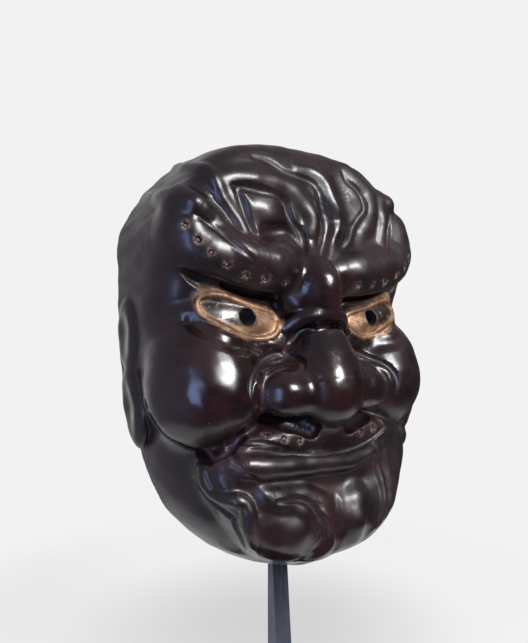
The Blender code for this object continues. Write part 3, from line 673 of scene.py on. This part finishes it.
def thinned(mesh, most):
    """The mesh with no more triangles than that."""
    holder = bpy.data.objects.new("holder", mesh)
    bpy.context.scene.collection.objects.link(holder)
    count = sum(len(face.vertices) - 2 for face in mesh.polygons)
    if count > most:
        thin = holder.modifiers.new("thin", "DECIMATE")
        thin.ratio = most / count
    fewer = bpy.data.meshes.new_from_object(holder.evaluated_get(bpy.context.evaluated_depsgraph_get()))
    bpy.data.objects.remove(holder)
    return fewer


def step_up(value, low, high):
    """0 below low, 1 above high and a smooth rise between."""
    t = np.clip((value - low) / (high - low), 0.0, 1.0)
    return t * t * (3.0 - 2.0 * t)


def within(points, outline):
    """How far inside a closed outline in x and z the points lie, in millimetres, negative outside."""
    x, z = points[:, 0], points[:, 2]
    inside = np.zeros(len(x), bool)
    nearest = np.full(len(x), 1e6)
    for (ax, az), (bx, bz) in zip(outline, np.roll(outline, -1, axis=0)):
        t = np.clip(((x - ax) * (bx - ax) + (z - az) * (bz - az)) / ((bx - ax) ** 2 + (bz - az) ** 2), 0, 1)
        nearest = np.minimum(nearest, np.hypot(x - ax - t * (bx - ax), z - az - t * (bz - az)))
        if az != bz:
            inside ^= ((az > z) != (bz > z)) & (x < (bx - ax) * (z - az) / (bz - az) + ax)
    return np.where(inside, nearest, -nearest)


def set_values(mesh, name, values):
    """One number a vertex, for the material."""
    mesh.attributes.new(name, "FLOAT", "POINT").data.foreach_set("value", values.astype(np.float32))


def inside_share(p):
    """1 on the wearer's side and the rim, 0 on the carved side."""
    hollow = Clay()
    hollow.add(egg((0, 0, 0), (400, 400, 400)))
    hollow_out(hollow)
    return step_up(hollow.at(p), -1.2, -0.3)


def paint(mesh, clay, p, normals, places):
    """Numbers that tell the material where the gilding, chips, hollows, crests and glossy parts are, and
    where shade is painted black into the pupils, the nostrils and the crack under the cheek.
    """
    folded = np.abs(p) * (1, 0, 0) + p * (0, 1, 1)
    x, _, z = folded.T
    front = step_up(-normals[:, 1], 0.0, 0.2) * (p[:, 1] < GILT_BACK)
    set_values(mesh, "gilt", step_up(within(folded, EYE_OUTLINE), -0.6, 0.4) * front)
    set_values(mesh, "eyeball", step_up(within(folded, EYE_DARK), -1.2, 1.0) * front)
    pegs = np.min([np.linalg.norm(p - place, axis=1) for place in places], axis=0)
    set_values(mesh, "chip", 1 - step_up(pegs, PEG_HOLE + 0.2, PEG_HOLE + 1.6))
    hollow = step_up(1.0 - clay.at(p + RELIEF_REACH * normals) / RELIEF_REACH, 0.1, 0.8)
    set_values(mesh, "hollow", hollow)
    set_values(mesh, "crest", step_up(1.0 + clay.at(p - RELIEF_REACH * normals) / RELIEF_REACH, 0.1, 0.8))
    set_values(mesh, "inside", inside_share(p))
    knob = (1 - step_up(x, *KNOB_SIDE)) * (1 - step_up(z, *KNOB_TOP))
    middle = step_up(z, *POLISH_BOTTOM) * np.maximum(1 - step_up(z, *POLISH_TOP), knob)
    set_values(mesh, "polish", np.maximum(middle, step_up(-z, *CHIN_POLISH)))
    # Painted shade: the walls of the pupils' bores, the deep nostrils and the crack under the cheek on the -X
    # side are marked to be painted near black, as if in shadow
    bore = np.hypot(x - PUPIL_PLACE[0], z - PUPIL_PLACE[1]) - PUPIL / 2
    holes = np.minimum(bore, cord(NOSTRILS[1])[0](folded) - 0.6)
    crack = cord([(*place, CRACK_SHADE_REACH) for place in BAND])[0](p)
    crack = np.minimum(crack, cord(NOSTRILS[0])[0](folded) - 1.2)
    crack = (1 - step_up(crack, -1.5, 0.0)) * step_up(hollow, 0.1, 0.5)
    set_values(mesh, "bore", np.maximum(1 - step_up(holes, 0.0, 0.6), crack))


def build_mask():
    """The mask's piece."""
    clay = carved_mask()
    places, normals_there = carve_pegs(clay)
    mesh = thinned(clay_mesh("mask_surface", clay, FINE_VOXEL, CLAY_LOW, CLAY_HIGH), MOST_TRIANGLES)
    p = np.empty(len(mesh.vertices) * 3, np.float32)
    mesh.vertices.foreach_get("co", p)
    p = p.reshape(-1, 3) / MM
    snapped, normals = clay.snap(p, 1)
    near = np.linalg.norm(snapped - p, axis=1) < FARTHEST_SNAP
    p[near] = snapped[near]
    mesh.vertices.foreach_set("co", (p * MM).ravel())
    mesh.shade_smooth()
    mesh.normals_split_custom_set_from_vertices(normals)
    paint(mesh, clay, p, normals, places)
    mask = bpy.data.objects.new("mask_carved", mesh)
    bpy.context.scene.collection.objects.link(mask)
    mask.location = MASK_ORIGIN
    mesh.materials.append(lacquer())
    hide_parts("mask")
    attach(mask, "root")
    return places, normals_there


# Materials


class Nodes:
    """The nodes of a material or a world, made and joined in one line each."""

    def __init__(self, block, shader="Principled BSDF"):
        self.block = block
        block.use_nodes = True
        self.tree = block.node_tree
        self.shader = self.tree.nodes[shader]

    def put(self, socket, value):
        if isinstance(value, bpy.types.NodeSocket):
            self.tree.links.new(value, socket)
        else:
            socket.default_value = value

    def add(self, kind, output=0, settings=(), **inputs):
        """A node of a kind, its inputs by name or by number as _0, and one of its outputs."""
        node = self.tree.nodes.new("ShaderNode" + kind)
        for name, value in dict(settings).items():
            setattr(node, name, value)
        for name, value in inputs.items():
            key = int(name[1:]) if name.startswith("_") else name.replace("_", " ")
            self.put(node.inputs[key], value)
        return node.outputs[output]

    def value(self, name):
        return self.add("Attribute", 2, {"attribute_name": name})

    def where(self, output=3):
        """The place on the piece, in metres, or for output 0 the direction in a world."""
        return self.add("TexCoord", output)

    def noise(self, scale, detail, roughness=0.55, vector=None, distortion=0.0):
        inputs = dict(Scale=scale, Detail=detail, Roughness=roughness, Distortion=distortion)
        return self.add("TexNoise", 0, Vector=vector or self.where(), **inputs)

    def ramp(self, value, low, high, to_low=0.0, to_high=1.0):
        inputs = {"From_Min": low, "From_Max": high, "To_Min": to_low, "To_Max": to_high}
        return self.add("MapRange", 0, {"interpolation_type": "SMOOTHSTEP"}, Value=value, **inputs)

    def math(self, operation, a, b):
        return self.add("Math", 0, {"operation": operation}, _0=a, _1=b)

    def mix(self, share, a, b):
        return self.add("Mix", 2, {"data_type": "RGBA"}, _0=share, _6=a, _7=b)

    def blend(self, share, a, b):
        return self.add("Mix", 0, {"data_type": "FLOAT"}, _0=share, _2=a, _3=b)

    def bump(self, height, distance, strength=1.0):
        return self.add("Bump", 0, Height=height, Distance=distance, Strength=strength)

    def set(self, **inputs):
        for name, value in inputs.items():
            self.put(self.shader.inputs[name.replace("_", " ")], value)
        return self.block


def rgb(red, green, blue):
    return (red, green, blue, 1.0)


def lacquer():
    """Dark urushi over carved wood, worn gilding on the eyes, bare wood on the wearer's side, and shade
    painted black in the pupils, the nostrils and the crack under the cheek.
    """
    n = Nodes(bpy.data.materials.new("lacquer"))
    # Lacquer: nearly black, browner where it is thin, duller over the brow than on cheeks and nose
    thin = n.ramp(n.noise(38, 4, 0.6), 0.4, 0.66)
    colour = n.mix(thin, rgb(0.0060, 0.0020, 0.0026), rgb(0.021, 0.0070, 0.0080))
    colour = n.mix(n.math("MULTIPLY", n.value("crest"), 0.3), colour, rgb(0.055, 0.026, 0.028))
    handled = n.ramp(n.add("SeparateXYZ", 0, _0=n.where()), 0.012, 0.04)
    rough = n.blend(n.value("polish"), 0.33, 0.19)
    rough = n.math("ADD", rough, n.ramp(n.noise(60, 5, 0.6), 0.35, 0.7, 0.0, 0.12))
    rough = n.math("ADD", rough, n.math("MULTIPLY", handled, 0.1))
    # Dust in the hollows and specks on the gloss
    specks = n.add("TexVoronoi", 0, Vector=n.where(), Scale=330.0, Randomness=1.0)
    spread = n.ramp(n.noise(90, 2), 0.5, 0.66)
    speck = n.math("MULTIPLY", n.ramp(specks, 0.085, 0.05), spread)
    dust = n.math("MULTIPLY", n.value("hollow"), n.ramp(n.noise(240, 3, 0.7), 0.45, 0.75))
    colour = n.mix(n.math("MULTIPLY", dust, 0.25), colour, rgb(0.10, 0.075, 0.065))
    colour = n.mix(n.math("MULTIPLY", speck, 0.7), colour, rgb(0.36, 0.31, 0.29))
    rough = n.blend(n.math("MAXIMUM", n.math("MULTIPLY", n.value("hollow"), 0.8), speck), rough, 0.65)
    # Gilding, rubbed through to the lacquer in specks and along its edge
    rub = n.noise(300, 6, 0.72)
    gilt = n.math("MULTIPLY", n.value("gilt"), n.ramp(rub, 0.33, 0.43))
    dark = n.math("MULTIPLY", n.value("eyeball"), n.ramp(rub, 0.66, 0.54))
    gilt = n.math("MULTIPLY", gilt, n.math("SUBTRACT", 1.0, dark))
    shade = n.ramp(n.noise(120, 4, 0.65), 0.35, 0.7)
    gold = n.mix(shade, rgb(0.15, 0.078, 0.042), rgb(0.44, 0.26, 0.145))
    colour = n.mix(gilt, colour, gold)
    rough = n.blend(gilt, rough, n.ramp(rub, 0.35, 0.7, 0.62, 0.48))
    # Chipped rims of the peg holes, down to the ground and the wood
    chip = n.math("MULTIPLY", n.value("chip"), n.ramp(n.noise(420, 3, 0.7), 0.46, 0.54))
    ground = n.mix(n.ramp(n.noise(700, 2), 0.4, 0.6), rgb(0.05, 0.026, 0.02), rgb(0.27, 0.18, 0.15))
    colour = n.mix(chip, colour, ground)
    rough = n.blend(chip, rough, 0.8)
    # The wearer's side: stained wood, its grain upright
    inside = n.value("inside")
    grain_place = n.add("Mapping", 0, Vector=n.where(), Scale=(1.0, 1.0, 0.07))
    rings = n.noise(420, 4, 0.6, grain_place, 0.6)
    wood = n.mix(n.ramp(rings, 0.35, 0.65), rgb(0.026, 0.013, 0.009), rgb(0.075, 0.042, 0.027))
    wood = n.mix(n.ramp(n.noise(28, 3), 0.5, 0.75), wood, rgb(0.014, 0.008, 0.006))
    colour = n.mix(inside, colour, wood)
    rough = n.blend(inside, rough, 0.8)
    # Painted shade: near black and matte in the pupils' bores, the nostrils and the crack under the cheek,
    # standing in for the shadow there
    bore = n.value("bore")
    colour = n.mix(bore, colour, rgb(0.002, 0.0015, 0.0015))
    rough = n.blend(bore, rough, 0.95)
    # Relief
    fine = n.math("MULTIPLY", n.noise(190, 3, 0.5), 0.12)
    height = n.math("ADD", n.noise(55, 2, 0.5), fine)
    height = n.math("ADD", height, n.math("MULTIPLY", speck, 0.25))
    height = n.math("ADD", height, n.math("MULTIPLY", n.math("MULTIPLY", gilt, rub), 0.5))
    height = n.math("SUBTRACT", height, n.math("MULTIPLY", chip, 0.8))
    height = n.math("ADD", height, n.math("MULTIPLY", n.math("MULTIPLY", inside, rings), 1.2))
    return n.set(
        Base_Color=colour,
        Roughness=rough,
        Metallic=n.math("MULTIPLY", gilt, 0.6),
        IOR=1.55,
        Coat_Weight=0.15,
        Coat_Roughness=0.16,
        Normal=n.bump(height, 0.0004, 0.8),
    )


def peg_wood():
    """Broken bamboo pegs."""
    n = Nodes(bpy.data.materials.new("peg_wood"))
    fibre = n.noise(1500, 3, 0.6)
    colour = n.mix(n.ramp(fibre, 0.4, 0.6), rgb(0.06, 0.035, 0.025), rgb(0.34, 0.22, 0.17))
    return n.set(Base_Color=colour, Roughness=0.75, Normal=n.bump(fibre, 0.0003))


def blackened_steel(name, colour, rough):
    """Steel blackened and waxed, with fine brushing along its length and rubbed patches."""
    n = Nodes(bpy.data.materials.new(name))
    lines = n.noise(900, 3, 0.6, n.add("Mapping", 0, Vector=n.where(), Scale=(1.0, 1.0, 0.04)))
    cloud = n.ramp(n.noise(35, 4, 0.6), 0.35, 0.7)
    shade = n.mix(cloud, colour, tuple(1.5 * v for v in colour[:3]) + (1.0,))
    return n.set(
        Base_Color=shade,
        Metallic=0.9,
        Roughness=n.ramp(lines, 0.3, 0.7, rough, rough + 0.12),
        Normal=n.bump(lines, 0.00008, 0.6),
    )


# Pegs and the stand


def link(name, mesh, look):
    """A piece of the mask's frame that rides on the root."""
    piece = bpy.data.objects.new(name, mesh)
    bpy.context.scene.collection.objects.link(piece)
    piece.location = MASK_ORIGIN
    mesh.materials.append(look)
    mesh.shade_smooth()
    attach(piece, "root")
    return piece


def skin(rings):
    """A closed mesh over rings of as many points each, in millimetres of the mask's frame."""
    made = bmesh.new()
    rows = [[made.verts.new(Vector(point) * MM) for point in ring] for ring in rings]
    for low, high in zip(rows, rows[1:]):
        for i, corner in enumerate(low):
            made.faces.new((low[i - 1], corner, high[i], high[i - 1]))
    made.faces.new(rows[0][::-1])
    made.faces.new(rows[-1])
    bmesh.ops.recalc_face_normals(made, faces=made.faces)
    mesh = bpy.data.meshes.new("skin")
    made.to_mesh(mesh)
    made.free()
    return mesh


def bar_rings(rows):
    """Oblong rings through rows of height, half width, front y and back y."""
    return [[(-w, front, z), (w, front, z), (w, back, z), (-w, back, z)] for z, w, front, back in rows]


def arm_rings(rows, sides=24):
    """Round rings through rows of x, y, z and radius, with a domed tip."""
    line = smooth_line(rows, 8)
    ahead = (line[-1, :3] - line[-2, :3]) / np.linalg.norm(line[-1, :3] - line[-2, :3])
    for turn in (20, 40, 60, 80):
        tip = line[-1, :3] + ahead * rows[-1][3] * math.sin(math.radians(turn))
        line = np.vstack([line, [*tip, rows[-1][3] * math.cos(math.radians(turn))]])
    spokes = [math.tau * k / sides for k in range(sides)]
    rings = []
    for i, (x, y, z, radius) in enumerate(line.tolist()):
        along = Vector(line[min(i + 1, len(line) - 1), :3] - line[max(i - 1, 0), :3]).normalized()
        up = along.cross(Vector((0, 1, 0))).normalized()
        side = along.cross(up)
        centre = Vector((x, y, z))
        rings.append([centre + radius * math.cos(t) * up + radius * math.sin(t) * side for t in spokes])
    return rings


def mirrored(rings):
    """The same rings on the -X side."""
    return [[(-x, y, z) for x, y, z in ring] for ring in rings]


def build_pegs(places, normals):
    """A broken peg in each hole."""
    look = peg_wood()
    random = np.random.default_rng(7)
    for k, (place, normal) in enumerate(zip(places, normals)):
        along = Vector(normal)
        side = along.orthogonal().normalized()
        up = along.cross(side)
        rings = []
        top = random.uniform(-1.4, -0.2)
        for depth, radius in ((-3.2, 0.9), (top - 0.5, 1.0), (top, 0.85), (top - 0.3, 0.35)):
            ring = []
            for t in range(12):
                wobble = 1 + 0.12 * random.standard_normal()
                angle = t * math.tau / 12
                spread = radius * wobble * (math.cos(angle) * side + math.sin(angle) * up)
                rise = depth + 0.18 * random.standard_normal()
                ring.append(Vector(place) + along * rise + spread)
            rings.append(ring)
        link(f"peg_{k + 1:02d}", skin(rings), look)


def build_stand():
    """The bar with its two pairs of arms, and the foot."""
    steel = blackened_steel("blackened_bar", rgb(0.09, 0.10, 0.13), 0.24)
    bar = link("stand_bar", skin(bar_rings(BAR)), steel)
    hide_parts("stand_upright")
    for k, rows in enumerate(STAND_ARMS):
        for side, turn in (("right", list), ("left", mirrored)):
            link(f"stand_arm_{side}_{k + 1}", skin(turn(arm_rings(rows))), steel)
    plate = blackened_steel("blackened_plate", rgb(0.05, 0.052, 0.06), 0.36)
    foot = link("stand_plate", skin(bar_rings(FOOT)), plate)
    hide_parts("stand_foot")
    for piece, width in ((bar, BAR_EDGE), (foot, FOOT_EDGE)):
        edge = piece.modifiers.new("edge", "BEVEL")
        edge.width = width * MM
        edge.segments = 3
        edge.harden_normals = True


# The studio


def area_light(name, azimuth, elevation, distance, size, power, colour):
    """A soft light aimed at the mask; azimuth 0 is in front of it and 90 on its +X side."""
    light = bpy.data.lights.new(name, "AREA")
    light.shape = "RECTANGLE"
    light.size, light.size_y = size
    light.energy = power
    light.color = colour
    lamp = bpy.data.objects.new(name, light)
    bpy.context.scene.collection.objects.link(lamp)
    a, e = math.radians(azimuth), math.radians(elevation)
    away = Vector((math.sin(a) * math.cos(e), -math.cos(a) * math.cos(e), math.sin(e)))
    lamp.location = MASK_ORIGIN + away * distance
    lamp.rotation_mode = "QUATERNION"
    lamp.rotation_quaternion = away.to_track_quat("Z", "Y")


def build_floor():
    """A pale table top, which glows rather than being lit and fades into the background a little way from the
    foot; its glow is weaker under the mask, a painted shadow.
    """
    made = bmesh.new()
    bmesh.ops.create_circle(made, cap_ends=True, segments=96, radius=FLOOR_FADE[1])
    mesh = bpy.data.meshes.new("floor")
    made.to_mesh(mesh)
    made.free()
    floor = bpy.data.objects.new("floor", mesh)
    floor.location = FLOOR_MIDDLE
    bpy.context.scene.collection.objects.link(floor)
    n = Nodes(bpy.data.materials.new("pale_table"))
    away = n.add("VectorMath", 1, {"operation": "LENGTH"}, _0=n.where())
    n.set(Base_Color=rgb(*[FLOOR_ALBEDO] * 3), Roughness=0.7, Alpha=n.ramp(away, *FLOOR_FADE, 1.0, 0.0))
    # Painted shadow: the floor glows less near its middle, under the mask, and more away from it
    n.set(Emission_Color=rgb(1, 1, 1), Emission_Strength=n.ramp(away, 0.02, 0.19, *FLOOR_GLOW_AND_SHADOW))
    mesh.materials.append(n.block)


def build_world():
    """A pale background to the eye, and to the gloss a dim room that is lighter overhead and on the left."""
    world = bpy.data.worlds.new("studio")
    bpy.context.scene.world = world
    n = Nodes(world, "Background")
    way = n.where(0)
    room = rgb(*DARK_ROOM)
    for direction, low, high, colour in ROOM:
        aim = Vector(direction).normalized()
        toward = n.add("VectorMath", 1, {"operation": "DOT_PRODUCT"}, _0=way, _1=aim)
        room = n.mix(n.ramp(toward, low, high), room, rgb(*colour))
    n.set(Color=room)
    seen = n.add("Background", 0, Color=rgb(*BACKGROUND))
    mirrored_room = n.shader.outputs[0]
    mixed = n.add("MixShader", 0, _0=n.add("LightPath", 0), _1=mirrored_room, _2=seen)
    n.tree.links.new(mixed, n.tree.nodes["World Output"].inputs["Surface"])


def build_camera():
    """The photograph's camera, level with the pupils."""
    camera = bpy.data.cameras.new("camera")
    camera.sensor_fit = "VERTICAL"
    camera.sensor_height = 36.0
    camera.lens = FOCAL_PIXELS * camera.sensor_height / PICTURE[1]
    camera.shift_y = (HORIZON_ROW - PICTURE[1] / 2) / PICTURE[1]
    camera.clip_start = 0.01
    viewer = bpy.data.objects.new("camera", camera)
    bpy.context.scene.collection.objects.link(viewer)
    turn = math.radians(CAMERA_TURN)
    away = Vector((-math.sin(turn), -math.cos(turn), 0))
    viewer.location = MASK_ORIGIN + away * CAMERA_DISTANCE * MM
    viewer.rotation_mode = "QUATERNION"
    viewer.rotation_quaternion = away.to_track_quat("Z", "Y")
    bpy.context.scene.camera = viewer


def main():
    build_pegs(*build_mask())
    build_stand()
    build_floor()
    build_world()
    build_camera()
    for name, light in LIGHTS.items():
        area_light(name, *light)
    bpy.context.scene.view_settings.view_transform = "Standard"


main()
